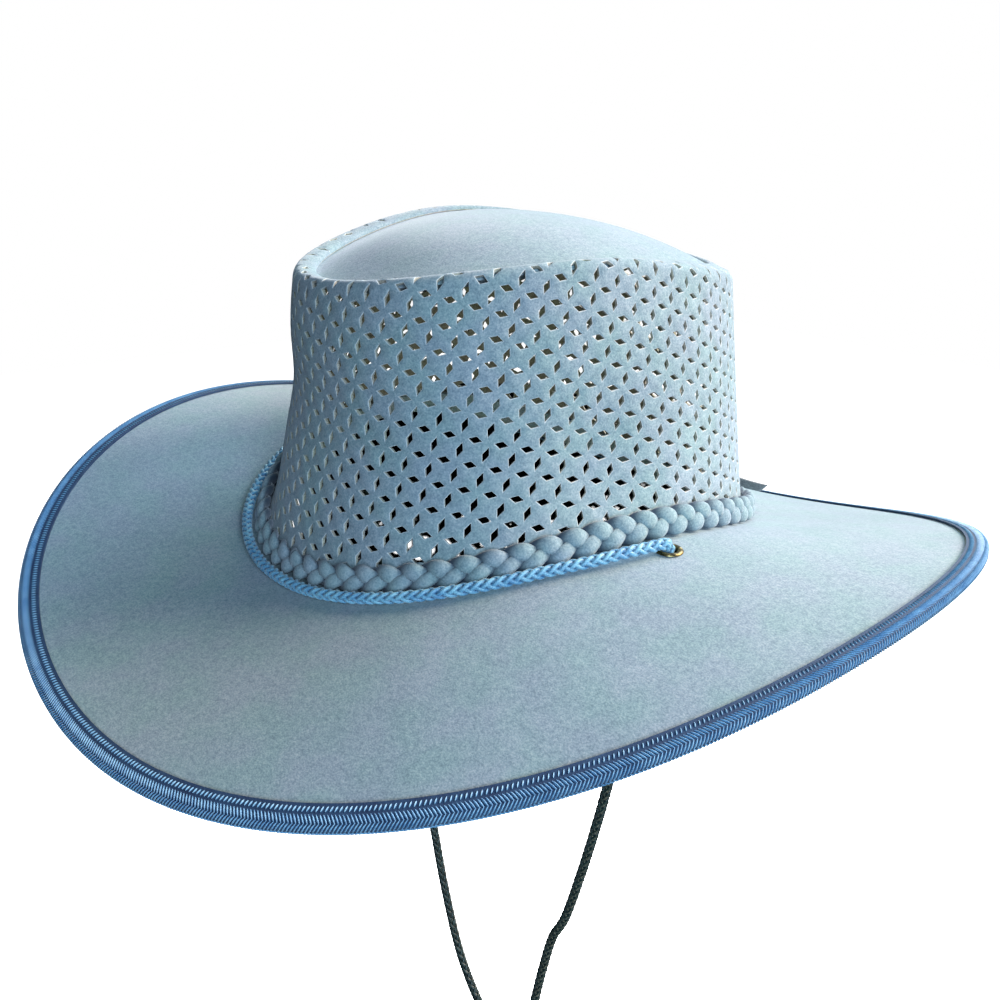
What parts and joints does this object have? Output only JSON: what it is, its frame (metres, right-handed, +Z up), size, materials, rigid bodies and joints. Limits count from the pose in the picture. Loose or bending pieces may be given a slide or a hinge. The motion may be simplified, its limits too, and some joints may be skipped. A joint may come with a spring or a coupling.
{
  "type": "safari hat",
  "caption": "Wide-brimmed suede safari hat with a pierced crown wall, plain arched top, bound saddle brim, plaited band and a cord loop that hangs under the chin.",
  "frame": {"origin": "middle of the head opening, at the height where the crown meets the brim", "axes": "+Z up through the crown, -Y to the front of the hat, +X to the wearer's left"},
  "size_m": [0.3713, 0.3825, 0.383],
  "materials": {
    "suede": "fine matte blue-grey suede",
    "band": "matte pale blue-grey suede thongs",
    "binding": "blue herringbone ribbon",
    "brass": "aged, half dull",
    "blue_cord": "plaited bright blue cord",
    "dark_cord": "plaited dark green-blue cord"
  },
  "bodies": {
    "root": {"brim": "suede", "brim_binding": "binding", "crown_wall": "suede", "crown_top": "suede", "plaited_band": "band", "band_tail": "band", "eyelet_left": "brass", "eyelet_right": "brass", "front_cord": "blue_cord", "chin_cord": "dark_cord"}
  },
  "joints": []
}
